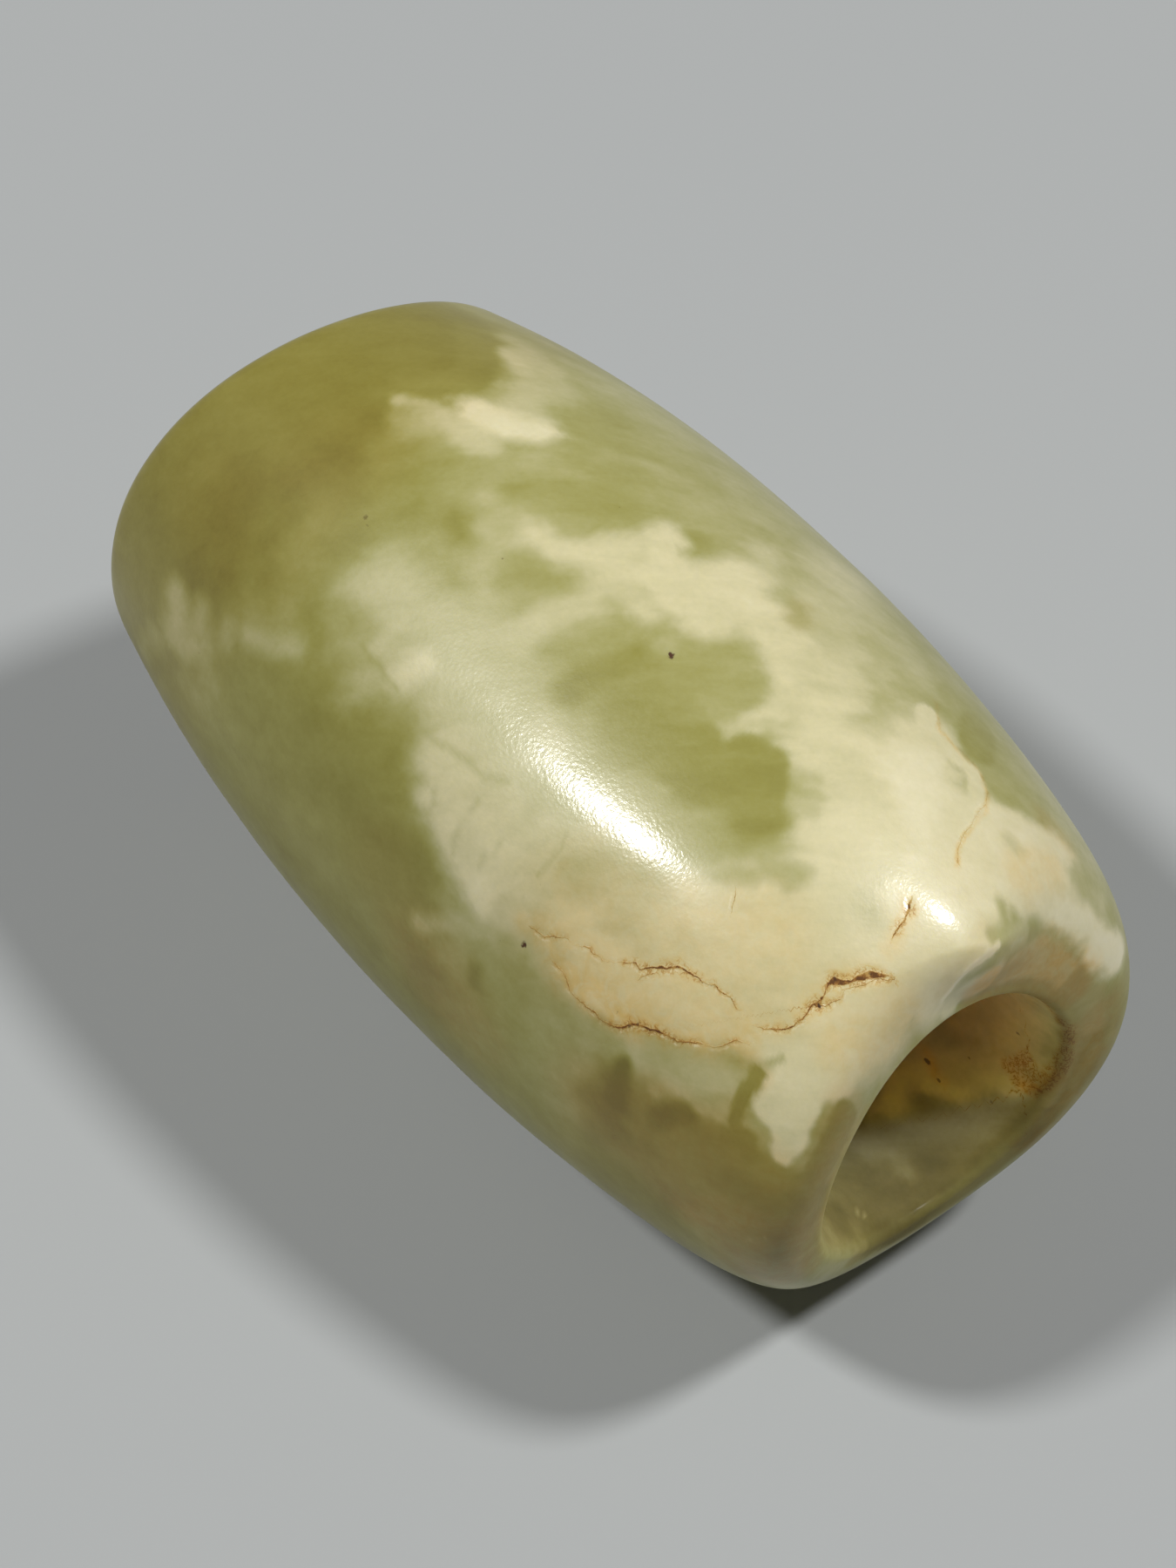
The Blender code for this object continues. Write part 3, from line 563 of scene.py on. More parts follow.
# Cracks: half width, depth and reach of the rust in mm, then points (along, angle, strength).
# One without depth is only a stain
cracks = {
    "lower": (0.1, 0.05, 0.42, [
        (8.4, 146.2, 0), (8.8, 146.9, 0.4), (9.3, 146.8, 0.5), (9.6, 147.6, 0.5), (9.9, 148.8, 0.5),
        (10.2, 149.3, 0.5), (10.8, 149.1, 0.55), (11.2, 149, 0.6), (11.6, 149.5, 0.45), (12, 149, 0.7),
        (12.35, 148.3, 0.8), (12.6, 147.2, 0.9), (12.8, 145.6, 1), (13, 145, 1), (13.3, 144.4, 0.95),
        (13.6, 144, 0.95), (13.9, 143.1, 0.95), (14.3, 142.6, 0.9), (14.7, 142.3, 0.8), (15, 141.3, 0.7),
        (15.3, 140.2, 0.8), (15.5, 139.6, 0.6), (15.9, 138.7, 0.3), (16.2, 137.7, 0.4), (16.5, 135.5, 0.6),
        (16.7, 134.3, 0.5), (17, 133.5, 0.3), (17.4, 132, 0),
    ]),
    "upper": (0.08, 0.045, 0.42, [
        (6.9, 144.8, 0), (7.3, 144.6, 0.5), (7.9, 144, 0.7), (8.3, 142.6, 0.6), (8.75, 141.2, 0.5),
        (9.1, 141.2, 0.1), (9.5, 140.7, 0.35), (9.75, 139.6, 0.6), (10, 140, 0.6), (10.6, 139.5, 0.3),
        (11, 138.3, 0.2), (11.25, 137.4, 0.6), (11.5, 136.5, 0.6), (11.7, 135.6, 0.7), (12, 136.2, 0.6),
        (12.2, 135, 0.9), (12.6, 133.6, 1), (13, 132, 1), (13.2, 130.8, 1), (13.5, 130.6, 0.9),
        (13.9, 130.4, 0.9), (14.1, 129.9, 0.9), (14.4, 130.2, 0.5), (14.6, 129.8, 0.5), (14.8, 128.7, 0.7),
        (15.2, 129, 0.6), (15.7, 128.7, 0.6), (16, 129.5, 0.5), (16.4, 128.9, 0),
    ]),
    "rising": (0.1, 0.08, 0.42, [
        (16.8, 130.2, 0), (17.3, 129, 0.6), (17.7, 127.6, 0.7), (18.05, 126.3, 0.8), (18.25, 124.5, 0.8),
        (18.4, 121.5, 0.7), (18.4, 118.6, 0.9), (18.6, 117.9, 2), (18.55, 116, 0.5), (18.4, 113.4, 0.9),
        (18.5, 112.2, 2.2), (18.85, 111.2, 1.6), (19.1, 109.6, 1.2), (19.25, 107.6, 1.6),
        (19.5, 105.4, 2.2), (19.75, 104, 1.5), (20, 102.5, 0.7), (20.25, 101.2, 0.6), (20.35, 100.6, 0),
    ]),
    "second": (0.05, 0.05, 0.42, [
        (18.6, 118.2, 0.9), (18.9, 116.6, 0.8), (19.15, 114, 0.5), (19.1, 111.5, 0.5), (19.4, 109.4, 0.6),
        (19.65, 106.8, 0.5), (19.85, 104.2, 0.7), (20.1, 103, 0.7), (20.3, 101.3, 0.9), (20.2, 100.9, 0),
    ]),
    "branch": (0.05, 0.04, 0.42, [
        (12.05, 139, 0), (12.15, 137.8, 0.5), (12.3, 136.2, 0.6), (12.5, 135.1, 0.7), (12.6, 134.6, 0),
    ]),
    "shoulder": (0.08, 0.045, 0.42, [
        (18.3, 88.2, 0.2), (18.45, 89.6, 1.2), (18.7, 90.6, 1.2), (18.85, 92.3, 0.7), (18.9, 94, 1),
        (19.05, 95.8, 1), (19.15, 97.2, 0.3), (19.4, 99, 0),
    ]),
    "scallop": (0.05, 0.03, 0.42, [
        (10.8, 53.5, 0), (11.4, 55.5, 0.2), (12, 57.5, 0.3), (12.8, 57, 0.25), (13.2, 56, 0.3),
        (14.1, 55, 0.3), (14.9, 56, 0.3), (15.4, 57, 0.35), (16, 60, 0.4), (16.4, 64, 0.45),
        (16.75, 66.5, 0.4), (17, 69, 0.5), (17.3, 71.5, 0.5), (17.7, 73.4, 0.45), (18.1, 75, 0.6),
        (18.5, 75, 0),
    ]),
    "rustLine": (0.1, 0, 0.5, [
        (23.7, 62, 0.2), (23.9, 46, 0.5), (24.2, 20, 0.6), (23.7, 9, 0.9), (23.8, -2, 1), (23.9, -14, 1.3),
        (24.2, -21, 1.6), (24.4, -26, 2), (24.7, -31, 1.4),
    ]),
    "rustPatch": (0.1, 0, 0.75, [
        (25.3, -18, 0.6), (25.1, -24, 1.2), (25.4, -28, 1.4), (25, -32, 0.8),
    ]),
    "underside": (0.07, 0.04, 0.42, [
        (-8, -36, 0), (-6.4, -40, 0.6), (-5.2, -43, 0.8), (-4, -44, 0.8), (-2.6, -49, 0.7),
        (-1.2, -51, 0.5), (0.4, -56, 0.7), (1.4, -60, 0.5), (2.2, -64, 0),
    ]),
    "hair": (0.045, 0.01, 0, [
        (12.9, 112.6, 0), (13.2, 114.4, 0.6), (13.5, 116.4, 0.6), (13.75, 118.5, 0),
    ]),
}

# Small dark pits and grains: along, angle, radius in mm and darkness
pits = [
    (7.3, 148.2, 0.15, 1), (3.7, 92.2, 0.17, 1), (-10, 112.8, 0.14, 0.5), (18.5, 111.8, 0.13, 1),
    (18.65, 118, 0.13, 1), (19.5, 105.2, 0.12, 0.95), (12.75, 146.4, 0.13, 0.7), (13, 145, 0.12, 0.8),
    (18.55, 90, 0.12, 0.7), (6.6, 137, 0.08, 0.5), (9.72, 139.5, 0.08, 0.6), (10.35, 101.8, 0.07, 0.5),
    (15.3, 97, 0.08, 0.3), (14.05, 134.8, 0.06, 0.4), (18.9, 125.8, 0.09, 0.35), (4.25, 143.5, 0.06, 0.4),
    (6.3, 151.2, 0.09, 0.35), (12.1, 145.8, 0.09, 0.6), (19.6, 99, 0.05, 0.5), (-1.6, 80.5, 0.08, 0.3),
    (0.4, 63, 0.07, 0.3), (-13, 158.5, 0.09, 0.3), (16.8, 178, 0.08, 0.5), (13.7, 171, 0.07, 0.5),
    (-6, 107, 0.07, 0.3), (26, -12, 0.15, 0.5), (25.5, -45, 0.13, 0.5), (27, 12, 0.16, 0.4),
    (28.6, -52, 0.2, 0.6), (27.7, -54, 0.14, 0.6), (27.3, -38, 0.12, 0.6), (-3.3, 78, 0.07, 0.5),
    (-4.3, 101, 0.09, 0.6), (-9.7, 113.6, 0.1, 0.5), (-12, -15, 0.14, 0.8), (6.5, -12, 0.1, 0.7),
    (-24.5, 60, 0.16, 0.8), (-24.8, 170, 0.12, 0.7), (-25.2, 290, 0.15, 0.7), (12.5, 300, 0.12, 0.7),
    (-3, 200, 0.12, 0.8), (9, -35, 0.12, 0.6),
]

# Where hand grinding left the side a little proud or low: along, angle, reach along and across, height, in mm
swells = [
    (3, 134.5, 7, 2.4, 0.16),
    (3, 109, 7, 2.4, -0.16),
    (12.4, 119, 3.6, 3.4, 0.26),
    (2.5, 120, 6, 4, -0.08),
    (11, 131, 3, 2.2, -0.06),
    (18.4, 96, 1, 1.4, -0.08),
]
# The shoulder over the near mouth is fuller on top: middle and reach in degrees, crest in mm along the
# surface and how much it falls back per degree, height, rise and fall in mm
shoulder = {
    "angle": 76.0, "reach": 18.0, "crest": 21.1, "fallBack": 0.035,
    "height": 1.05, "rise": 5.5, "sharpness": 3.0, "fall": 2.5,
}
# A thin raised edge round the top of the mouth
mouthEdge = {
    "angles": (64, 69, 75, 78, 82, 86, 88, 94),
    "alongs": (21.4, 21.3, 21.2, 21.2, 21.4, 21.7, 22.2, 22.9),
    "heights": (0.0, 0.02, 0.04, 0.04, 0.04, 0.04, 0.03, 0.0),
    "width": 0.14,
}
# Waviness left by polishing and shake of the cracks, in mm, then shares of a crack's depth and width and of
# a pit's radius
cutting = {
    "waviness": 0.035, "shake": 0.09,
    "crackDepth": 0.35, "crackWidth": 0.8, "pitDepth": 0.3, "pitReach": 1.3,
}


def painted(flat, strokes, start):
    field = np.zeros(len(flat)) + start
    for value, width, soft, points, *strength in strokes:
        distance = strokeDistance(flat, points)[0]
        cover = smooth((width + soft / 2 - distance) / soft) * (strength[0] / 100 if strength else 1)
        field += (value / 100 - field) * cover
    return field


def fields(along, angle, flat, places):
    # The pattern of the stone at each place: its clouds bent, and drawn out to feathers along the grain
    grained = places - (1 - 1 / veining["stretch"]) * (places @ grain)[:, None] * grain
    broad = noisePair(places, *noises["broad"])
    fine = noisePair(places, *noises["fine"])
    drawn = np.column_stack([np.full(len(flat), grain[0]), -grain[1] * np.sin(np.radians(angle))])
    plume = stoneNoise(grained, *noises["plume"])[:, None]
    bent = flat + veining["bend"] * broad + veining["fray"] * fine + veining["feather"] * plume * drawn
    cloudAndPaintedLight = painted(bent, cloudAndPaintedLightStrokes, cloudBase / 100)
    crisp = flat + veining["crispFray"] * fine + veining["crispFeather"] * plume * drawn
    cloudAndPaintedLight = painted(crisp, crispAndPaintedLightStrokes, cloudAndPaintedLight)
    middle = unrolled([(0, hidden["angle"])])[0, 1]
    cover = smooth((hidden["reach"] - np.abs(wrapped(flat, middle)[:, 1] - middle)) / hidden["soft"])
    cloudAndPaintedLight += cover * hidden["strength"] * stoneNoise(places, *noises["hidden"])
    wispy = veining["wispFloor"] + veining["wispEdges"] * cloudAndPaintedLight * (1 - cloudAndPaintedLight)
    cloudAndPaintedLight += veining["wisps"] * stoneNoise(grained, *noises["wisps"]) * wispy
    stained = flat + veining["stainBend"] * broad + veining["stainFray"] * fine
    deepBase = smooth((along - hole["deep"]) / hole["deepSoft"])
    inside = smooth((along - hole["near"]) / hole["soft"]) + smooth((-along - hole["far"]) / hole["soft"])
    pattern = {
        "cloudAndPaintedLight": cloudAndPaintedLight,
        "warm": painted(bent, warmStrokes, warmBase / 100),
        "stain": painted(stained, stainStrokes, 0),
        "inside": inside,
        "deep": painted(flat + veining["deepFray"] * fine, deepStrokes, deepBase),
    }
    return {name: np.clip(values, 0, 1) for name, values in pattern.items()}


def relief(along, angle, flat, places):
    # Height in mm over the turned form, and how far away and how strong each crack is
    height = -cutting["waviness"] * (1 + stoneNoise(places, *noises["waves"]))
    for atAlong, atAngle, reachAlong, reachAcross, swell in swells:
        middle = unrolled([(atAlong, atAngle)])[0]
        away = wrapped(flat, middle[1]) - middle
        height += swell * np.exp(-0.5 * ((away[:, 0] / reachAlong) ** 2 + (away[:, 1] / reachAcross) ** 2))
    turned = angle - shoulder["angle"]
    crest = shoulder["crest"] - shoulder["fallBack"] * np.maximum(turned, 0)
    climb = np.clip(1 + (along - crest) / shoulder["rise"], 0, 1) ** shoulder["sharpness"]
    drop = smooth(1 - (along - crest) / shoulder["fall"])
    height += shoulder["height"] * np.exp(-((turned / shoulder["reach"]) ** 2)) * climb * drop
    edge = np.interp(angle, mouthEdge["angles"], mouthEdge["alongs"])
    full = np.interp(angle, mouthEdge["angles"], mouthEdge["heights"])
    height += full * np.exp(-(((along - edge) / mouthEdge["width"]) ** 2))
    bent = flat + cutting["shake"] * noisePair(places, *noises["jitter"])
    marks = {}
    for name, (width, depth, rust, points) in cracks.items():
        distance, side, where = strokeDistance(bent, points)
        levels = [point[2] for point in points]
        strength = np.interp(where, np.arange(len(levels)), levels)
        marks[name + "Away"], marks[name + "Strength"] = distance * side, strength
        wide = width * (cutting["crackWidth"] + cutting["crackWidth"] * strength)
        height -= cutting["crackDepth"] * depth * strength * np.exp(-((distance / wide) ** 2))
    for atAlong, atAngle, radius, dark in pits:
        distance = strokeDistance(flat, [(atAlong, atAngle)])[0]
        height -= cutting["pitDepth"] * radius * dark * smooth(1 - distance / (cutting["pitReach"] * radius))
    return height, marks


def outward(grid):
    # Normals of a grid of points, rings by sides
    alongStep = np.roll(grid, -1, axis=0) - np.roll(grid, 1, axis=0)
    roundStep = np.roll(grid, -1, axis=1) - np.roll(grid, 1, axis=1)
    normal = np.cross(roundStep, alongStep)
    return normal / np.linalg.norm(normal, axis=-1, keepdims=True)


# The unrolled surface on a map from 0 to 1: mm before the middle, mm along the whole and degrees round it
mapSpan = {"before": 50, "length": 100, "round": 400}


def beadMesh():
    alongs = np.append(stations(ringSpans), nearAlong[-1])
    along, angle = np.meshgrid(alongs, stations(sideSpans), indexing="ij")
    rings, sides = along.shape
    grid = onBead(along, angle)
    normal = outward(grid).reshape(-1, 3)
    along, angle, places = along.ravel(), angle.ravel(), grid.reshape(-1, 3)
    flat = np.column_stack([along, np.radians(angle - 90) * bellyRadius])
    height, marks = relief(along, angle, flat, places)
    shaped = places + normal * height[:, None]
    shaped[:, 2] = np.maximum(shaped[:, 2], 0.0)

    index = np.arange(rings * sides).reshape(rings, sides)
    nextRing = np.roll(index, -1, axis=0)
    faces = np.stack([index, nextRing, np.roll(nextRing, -1, axis=1), np.roll(index, -1, axis=1)], axis=-1)
    mesh = bpy.data.meshes.new("jadeBead")
    mesh.from_pydata((shaped * mm).tolist(), [], faces.reshape(-1, 4).tolist())
    mesh.shade_smooth()

    for name, values in {**fields(along, angle, flat, places), **marks}.items():
        field = mesh.attributes.new(name, "FLOAT", "POINT")
        field.data.foreach_set("value", values.astype(np.float32))

    # Unrolled coordinates for the shader, not broken where the round closes
    corners = faces.reshape(-1)
    turned = angle[corners].reshape(-1, 4)
    turned = np.where(turned < turned.max(axis=1, keepdims=True) - 180, turned + 360, turned)
    coordinates = np.column_stack([
        (along[corners] + mapSpan["before"]) / mapSpan["length"],
        turned.ravel() / mapSpan["round"],
    ])
    unrolledMap = mesh.uv_layers.new(name="unrolled")
    unrolledMap.data.foreach_set("uv", coordinates.astype(np.float32).ravel())
    print("bead", len(mesh.vertices), "vertices", len(mesh.polygons), "faces")
    return mesh


def added(name, data):
    made = bpy.data.objects.new(name, data)
    bpy.context.scene.collection.objects.link(made)
    return made


mesh = beadMesh()
bead = added("jadeBead", mesh)
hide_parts("jade_tube")
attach(bead, "root")

# Colours of the stone, from clear to milky, and of its marks
jade = {
    "ramp": [
        (0, (0.192, 0.167, 0.014)),
        (0.12, (0.244, 0.227, 0.033)),
        (0.25, (0.3, 0.286, 0.062)),
        (0.4, (0.368, 0.356, 0.122)),
        (0.55, (0.456, 0.44, 0.207)),
        (0.7, (0.558, 0.531, 0.298)),
        (0.86, (0.698, 0.652, 0.402)),
        (1, (0.805, 0.76, 0.53)),
    ],
    "warmTint": (1, 0.83, 0.66),
    "stainTint": (1, 0.78, 0.42),
    # colours in the hole and on the shaded rim, dark brown to pale golden; the pale golden end is painted
    # light on the hole's shaded walls
    "deepRamp": [
        (0, (0.115, 0.09, 0.016)),
        (0.35, (0.265, 0.222, 0.07)),
        (0.7, (0.48, 0.42, 0.195)),
        (1, (0.86, 0.7, 0.35)),
    ],
    "crackTints": [
        (0, (1, 1, 1)),
        (0.25, (0.96, 0.87, 0.7)),
        (0.5, (0.77, 0.57, 0.3)),
        (0.75, (0.41, 0.21, 0.06)),
        (1, (0.13, 0.052, 0.012)),
    ],
    "chip": (0.86, 0.8, 0.58),
    "soil": (0.07, 0.025, 0.007),
}
# Textures in the stone: size in mm, detail, roughness and distortion
textures = {
    "feather": (1, 6, 0.62, 0.3),
    "fleck": (0.3, 4, 0.6, 0.2),
    "blotch": (0.7, 5, 0.65, 0.8),
    "wander": (0.22, 4, 0.7, 0),
    "thread": (0.3, 3, 0.6, 0.6),
    "gap": (0.35, 3, 0.6, 0),
    "chip": (0.6, 3, 0.6, 0),
    "ragged": (1 / 6, 2, 0.5, 0),
    "grain": (0.16, 2, 0.5, 0),
    "sheen": (2.5, 3, 0.55, 0),
}
# How strongly feathers and flecks show in the clouds, and how blotchy stain is
clouding = {"feather": 0.13, "atEdges": 0.75, "fleck": 0.11}
staining = {"blotches": (0.30, 0.66), "blotchy": 0.7, "even": 0.45}
# Cracks: a broken brown line that wanders, rusty threads and blotches beside it, and pale chips
cracking = {
    "wander": 0.2,  # mm
    "line": 0.85, "lineEdge": 0.6,  # shares of the crack's width
    "lineDark": 0.55, "gaps": (0.36, 0.58), "gapDark": 0.4,
    "rustMost": 1.2, "rustEdge": 3.6, "rustDark": 0.58,
    "threadThin": 16, "threads": 0.9, "blotches": 0.42,
    "chipAway": 0.14, "chipThin": 12, "chips": (0.46, 0.6), "chipPale": 0.6,
}
# The edge of a pit, in shares of its radius, and how ragged it is in mm
pitEdge = {"outer": 1.25, "inner": 0.8, "ragged": 0.2}
# Polish, with a fine grain, duller in cracks and in the hole
polish = {
    "roughness": 0.42, "uneven": 0.1, "ior": 1.48,
    "coat": 0.26, "coatIor": 1.6, "coatRoughness": 0.14,
    "marksDull": 1.6, "dull": 0.4,
    "groove": -0.03, "grain": 0.012, "bump": 0.55,
}
# Light carried through the stone, outside and at the thin wall round the hole, with its reach in metres
carried = {"weight": (0.4, 1), "reach": (0.0016, 0.012), "colors": (1, 0.85, 0.4)}


class Nodes:
    def __init__(self, owner):
        owner.use_nodes = True
        self.tree = owner.node_tree
        self.shader = self.tree.nodes.get("Principled BSDF")

    def add(self, kind, inputs=(), **settings):
        node = self.tree.nodes.new(kind)
        for name, value in settings.items():
            setattr(node, name, value)
        for socket, value in dict(inputs).items():
            self.feed(node.inputs[socket], value)
        return node

    def feed(self, socket, value):
        if isinstance(value, bpy.types.NodeSocket):
            self.tree.links.new(value, socket)
        elif value is not None:
            socket.default_value = value

    def math(self, operation, a, b=None, c=None, clamp=False):
        node = self.add("ShaderNodeMath", operation=operation, use_clamp=clamp)
        for socket, value in zip(node.inputs, (a, b, c)):
            self.feed(socket, value)
        return node.outputs[0]

    def most(self, values):
        most = values[0]
        for value in values[1:]:
            most = self.math("MAXIMUM", most, value)
        return most

    def vector(self, operation, a, b=None):
        # b is a vector, or the number to scale by
        node = self.add("ShaderNodeVectorMath", {0: a}, operation=operation)
        self.feed(node.inputs["Scale" if operation == "SCALE" else 1], b)
        return node.outputs["Value" if operation in ("DOT_PRODUCT", "DISTANCE", "LENGTH") else "Vector"]

    def field(self, name):
        return self.add("ShaderNodeAttribute", attribute_name=name).outputs["Fac"]

    def noise(self, place, name, output="Fac"):
        size, detail, roughness, distortion = textures[name]
        return self.add("ShaderNodeTexNoise", {
            "Vector": place, "Scale": 1 / size,
            "Detail": detail, "Roughness": roughness, "Distortion": distortion,
        }).outputs[output]

    def span(self, value, low, high, toLow=0.0, toHigh=1.0, kind="SMOOTHSTEP"):
        node = self.add("ShaderNodeMapRange", interpolation_type=kind)
        for socket, number in zip(node.inputs[:5], (value, low, high, toLow, toHigh)):
            self.feed(socket, number)
        return node.outputs[0]

    def mix(self, factor, a, b, blend="MIX"):
        node = self.add("ShaderNodeMix", data_type="RGBA", blend_type=blend)
        self.feed(node.inputs["Factor"], factor)
        for socket, color in zip(node.inputs[6:8], (a, b)):
            self.feed(socket, color if isinstance(color, bpy.types.NodeSocket) else (*color, 1))
        return node.outputs[2]

    def ramp(self, value, stops):
        node = self.add("ShaderNodeValToRGB", {"Fac": value})
        points = node.color_ramp.elements
        while len(points) < len(stops):
            points.new(0.5)
        for point, (place, color) in zip(points, stops):
            point.position = place
            point.color = (*color, 1)
        return node.outputs["Color"]


def cloudColor(n, place, deep):
    # Milky clouds with feathered edges, drawn out along the grain, together with the painted light in the
    # hole and by the near mouth
    run = n.vector("DOT_PRODUCT", place, tuple(grain))
    shift = n.vector("SCALE", tuple(grain), n.math("MULTIPLY", run, 1 / veining["stretch"] - 1))
    feather = n.noise(n.vector("ADD", place, shift), "feather")
    fleck = n.noise(place, "fleck")
    cloudAndPaintedLight = n.field("cloudAndPaintedLight")
    edges = n.math("MULTIPLY", cloudAndPaintedLight, n.math("SUBTRACT", 1.0, cloudAndPaintedLight))
    amount = n.math("ADD", n.math("MULTIPLY", edges, clouding["atEdges"]), clouding["feather"])
    milky = n.math("MULTIPLY_ADD", n.math("SUBTRACT", feather, 0.5), amount, cloudAndPaintedLight)
    milky = n.math("MULTIPLY_ADD", n.math("SUBTRACT", fleck, 0.5), clouding["fleck"], milky, clamp=True)
    color = n.mix(n.field("warm"), n.ramp(milky, jade["ramp"]), jade["warmTint"], "MULTIPLY")
    return n.mix(deep, color, n.ramp(milky, jade["deepRamp"]))


def crackMarks(n, place):
    # Of all cracks together: the dark line, the reach of the rust and the chips
    wander = n.math("SUBTRACT", n.noise(place, "wander"), 0.5)
    lines, rusts, chips = [], [], []
    for name, (width, depth, rust, points) in cracks.items():
        away = n.math("MULTIPLY_ADD", wander, cracking["wander"], n.field(name + "Away"))
        beside = n.math("ABSOLUTE", n.math("SUBTRACT", away, cracking["chipAway"]))
        away = n.math("ABSOLUTE", away)
        strength = n.field(name + "Strength")
        reach = n.math("MULTIPLY", n.math("MINIMUM", strength, cracking["rustMost"]), rust)
        reach = n.math("SUBTRACT", reach, away)
        rusts.append(n.math("MULTIPLY", reach, cracking["rustEdge"], clamp=True))
        if not depth:
            continue
        line = n.math("SUBTRACT", n.math("MULTIPLY", strength, cracking["line"] * width), away)
        lines.append(n.math("DIVIDE", line, width * cracking["lineEdge"], clamp=True))
        chip = n.math("SUBTRACT", 1.0, n.math("MULTIPLY", beside, cracking["chipThin"]), clamp=True)
        chips.append(n.math("MULTIPLY", chip, strength))
    return n.most(lines), n.most(rusts), n.most(chips)


def pitMarks(n, place):
    # Drawn at full sharpness on the unrolled surface
    size = (mapSpan["length"], mapSpan["round"] * math.radians(1) * bellyRadius, 0.0)
    flat = n.vector("MULTIPLY", n.add("ShaderNodeUVMap", uv_map="unrolled").outputs["UV"], size)
    ragged = n.noise(place, "ragged", "Color")
    flat = n.vector("ADD", flat, n.vector("SCALE", ragged, pitEdge["ragged"]))
    shift = pitEdge["ragged"] / 2
    marks = []
    for atAlong, atAngle, radius, dark in pits:
        turned = math.radians(atAngle if atAngle > seamAngle else atAngle + 360)
        spot = (atAlong + mapSpan["before"] + shift, turned * bellyRadius + shift, 0.0)
        mark = n.span(n.vector("DISTANCE", flat, spot), radius * pitEdge["outer"], radius * pitEdge["inner"])
        marks.append(n.math("MULTIPLY", mark, dark))
    return n.most(marks)


def paleJade():
    material = bpy.data.materials.new("paleJade")
    n = Nodes(material)
    place = n.vector("SCALE", n.add("ShaderNodeTexCoord").outputs["Object"], 1 / mm)
    deep, inside = n.field("deep"), n.field("inside")
    color = cloudColor(n, place, deep)

    blotch = n.span(n.noise(place, "blotch"), *staining["blotches"])
    stain = n.math("MULTIPLY_ADD", blotch, staining["blotchy"], staining["even"])
    stain = n.math("MULTIPLY", n.field("stain"), stain, clamp=True)
    color = n.mix(stain, color, jade["stainTint"], "MULTIPLY")

    line, rust, chip = crackMarks(n, place)
    thread = n.math("ABSOLUTE", n.math("SUBTRACT", n.noise(place, "thread"), 0.5))
    thread = n.math("SUBTRACT", 1, n.math("MULTIPLY", thread, cracking["threadThin"]), clamp=True)
    rusty = n.math("MULTIPLY", blotch, cracking["blotches"])
    rusty = n.math("MULTIPLY_ADD", thread, cracking["threads"], rusty)
    rusty = n.math("MULTIPLY", rust, rusty, clamp=True)
    chip = n.math("MULTIPLY", chip, n.span(n.noise(place, "chip"), *cracking["chips"]))
    color = n.mix(n.math("MULTIPLY", chip, cracking["chipPale"], clamp=True), color, jade["chip"])
    gap = n.span(n.noise(place, "gap"), *cracking["gaps"])
    dark = n.math("MULTIPLY", line, n.math("MULTIPLY_ADD", gap, cracking["gapDark"], cracking["lineDark"]))
    dark = n.math("MAXIMUM", dark, n.math("MULTIPLY", rusty, cracking["rustDark"]), clamp=True)
    color = n.mix(1, color, n.ramp(dark, jade["crackTints"]), "MULTIPLY")
    pitted = pitMarks(n, place)

    dull = n.math("MULTIPLY", n.math("MAXIMUM", line, pitted), polish["marksDull"], clamp=True)
    dull = n.math("MAXIMUM", dull, n.math("MAXIMUM", inside, deep))
    even = polish["roughness"] - polish["uneven"] / 2
    sheen = n.math("MULTIPLY_ADD", n.noise(place, "sheen"), polish["uneven"], even)
    height = n.math("MULTIPLY", n.noise(place, "grain"), polish["grain"])
    height = n.math("MULTIPLY_ADD", line, polish["groove"], height)
    bump = n.add("ShaderNodeBump", {"Height": height, "Strength": polish["bump"], "Distance": mm}).outputs[0]
    sockets = {
        "Base Color": n.mix(pitted, color, jade["soil"]),
        "Roughness": n.math("MULTIPLY_ADD", dull, polish["dull"], sheen, clamp=True),
        "Normal": bump,
        "Coat Normal": bump,
        "Coat Weight": n.span(dull, 0, 1, polish["coat"], 0, "LINEAR"),
        "Coat Roughness": polish["coatRoughness"],
        "Coat IOR": polish["coatIor"],
        "IOR": polish["ior"],
        "Subsurface Weight": n.span(inside, 0, 1, *carried["weight"], "LINEAR"),
        "Subsurface Scale": n.span(inside, 0, 1, *carried["reach"], "LINEAR"),
        "Subsurface Radius": carried["colors"],
    }
    for socket, value in sockets.items():
        n.feed(n.shader.inputs[socket], value)
    return material


mesh.materials.append(paleJade())
print("stone finished")

# Camera in mm from the middle of the bead's axis, the way it looks, and its near and far limits in metres
view = {
    "place": (94.377, -79.303, 175.206),
    "towards": (-0.44375, 0.36525, -0.81834),
    "lens": 120,
    "film": 36,
    "limits": (0.01, 10),
}


def aimed(name, data, place, towards):
    made = added(name, data)
    made.location = (Vector(place) + Vector((0, 0, axisHeight))) * mm
    made.rotation_euler = Vector(towards).to_track_quat("-Z", "Y").to_euler()
    return made


cameraData = bpy.data.cameras.new("photoView")
cameraData.lens = view["lens"]
cameraData.sensor_fit = "VERTICAL"
cameraData.sensor_height = view["film"]
cameraData.clip_start, cameraData.clip_end = view["limits"]
bpy.context.scene.camera = aimed("photoView", cameraData, view["place"], view["towards"])

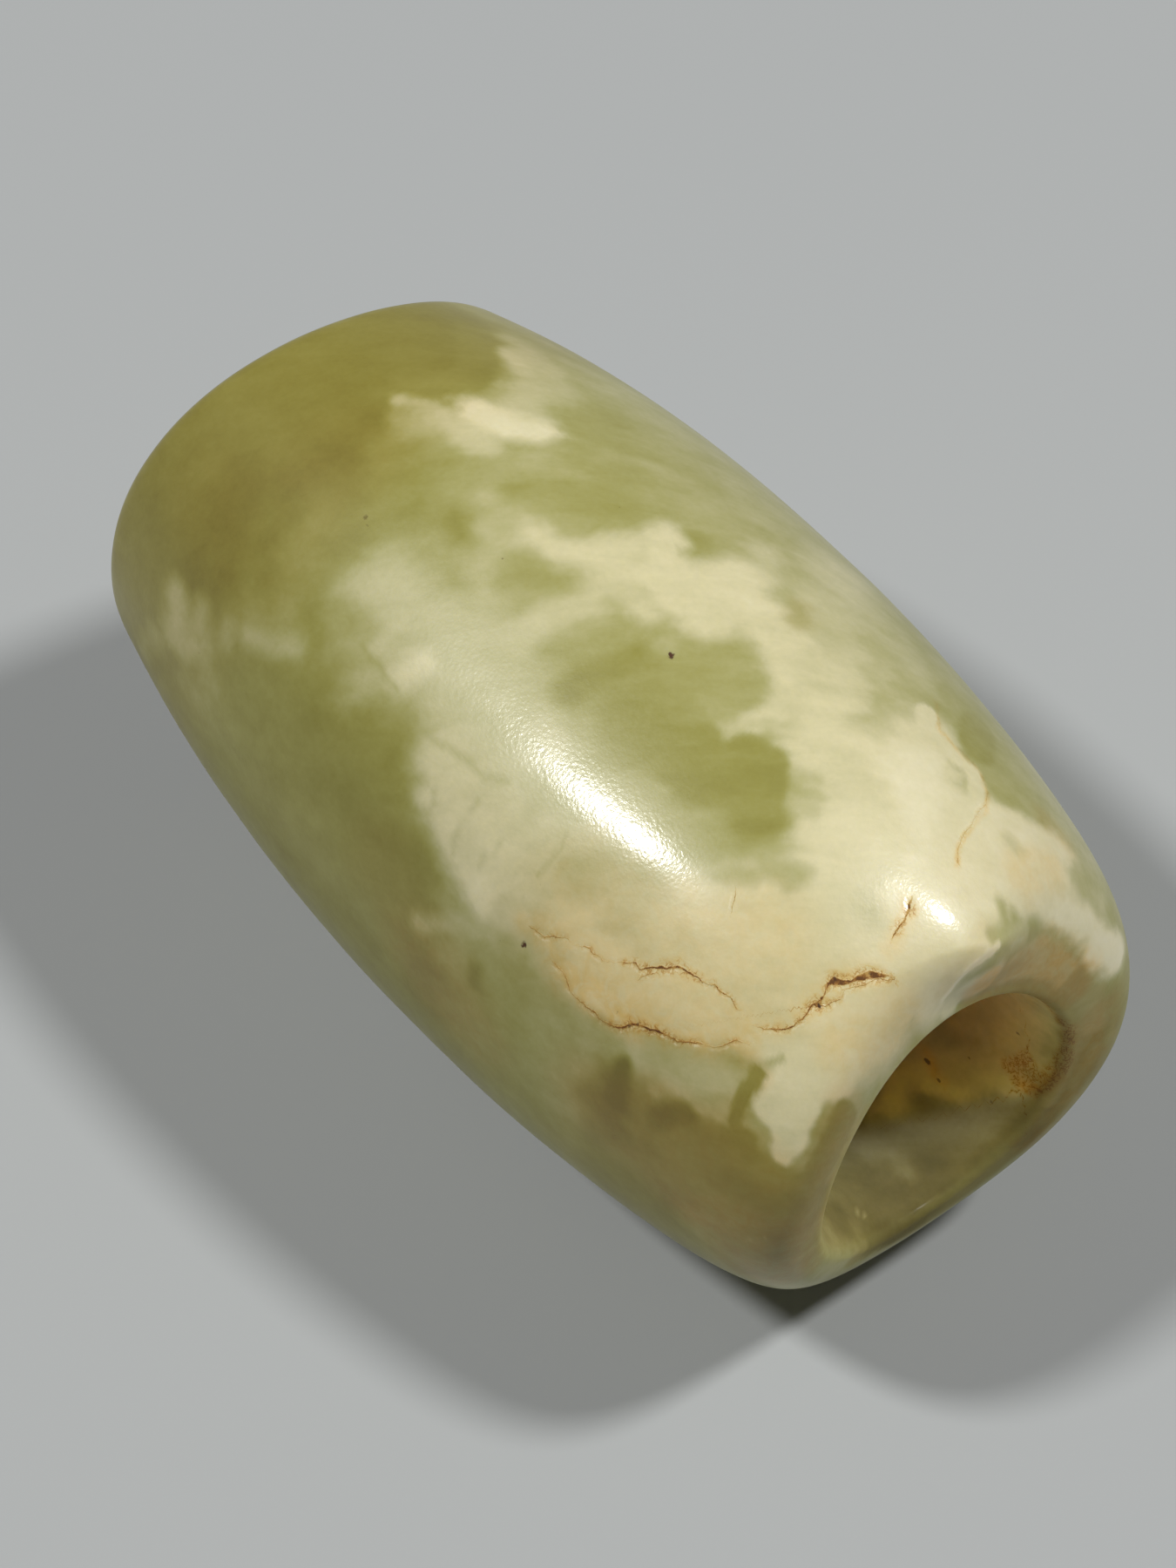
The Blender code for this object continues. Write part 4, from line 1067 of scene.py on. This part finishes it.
# Two round lamps, in mm from the middle of the bead's axis, with their power in watts
lamps = {
    "places": {"rightLamp": (208, 274, 542), "leftLamp": (-202, -297, 546)},
    "size": 85, "power": 2.5, "color": (1, 1, 0.98),
}
for name, place in lamps["places"].items():
    lampData = bpy.data.lights.new(name, "AREA")
    lampData.shape = "DISK"
    lampData.size = lamps["size"] * mm
    lampData.energy = lamps["power"]
    lampData.color = lamps["color"]
    aimed(name, lampData, place, -Vector(place))
print("camera and lamps placed")

# How bright the room looks and how much light it gives, and where the floor fades into it, in metres
room = {"seen": 0.34, "glow": 0.05, "fade": (0.2, 0.6)}
paper = {"half": 1.5, "color": (0.405, 0.418, 0.425), "roughness": 0.8}


def seenRays(n):
    # 1 for rays that see the room: the camera's, and those of reflections and of what shows through
    rays = n.add("ShaderNodeLightPath").outputs
    return n.most([rays["Is Camera Ray"], rays["Is Glossy Ray"], rays["Is Transmission Ray"]])


world = bpy.data.worlds.new("room")
bpy.context.scene.world = world
air = Nodes(world)
background = air.tree.nodes["Background"]
background.inputs["Color"].default_value = (1, 1, 1, 1)
air.feed(background.inputs["Strength"],
         air.math("MULTIPLY_ADD", seenRays(air), room["seen"] - room["glow"], room["glow"]))


def palePaper():
    # Paper that fades into the room far from the bead, so that no hard edge shows
    material = bpy.data.materials.new("palePaper")
    n = Nodes(material)
    n.shader.inputs["Base Color"].default_value = (*paper["color"], 1)
    n.shader.inputs["Roughness"].default_value = paper["roughness"]
    far = n.span(n.vector("LENGTH", n.add("ShaderNodeTexCoord").outputs["Object"]), *room["fade"])
    haze = n.add("ShaderNodeEmission", {"Strength": room["seen"]})
    faded = n.add("ShaderNodeMixShader", {
        "Fac": n.math("MULTIPLY", far, seenRays(n)), 1: n.shader.outputs[0], 2: haze.outputs[0],
    })
    n.feed(n.tree.nodes["Material Output"].inputs["Surface"], faded.outputs[0])
    return material


floorMesh = bpy.data.meshes.new("floor")
corners = [(x * paper["half"], y * paper["half"], 0) for x, y in ((-1, -1), (1, -1), (1, 1), (-1, 1))]
floorMesh.from_pydata(corners, [], [(0, 1, 2, 3)])
floorMesh.materials.append(palePaper())
floor = added("floor", floorMesh)
print("floor laid")

bpy.context.scene.view_settings.view_transform = "Standard"
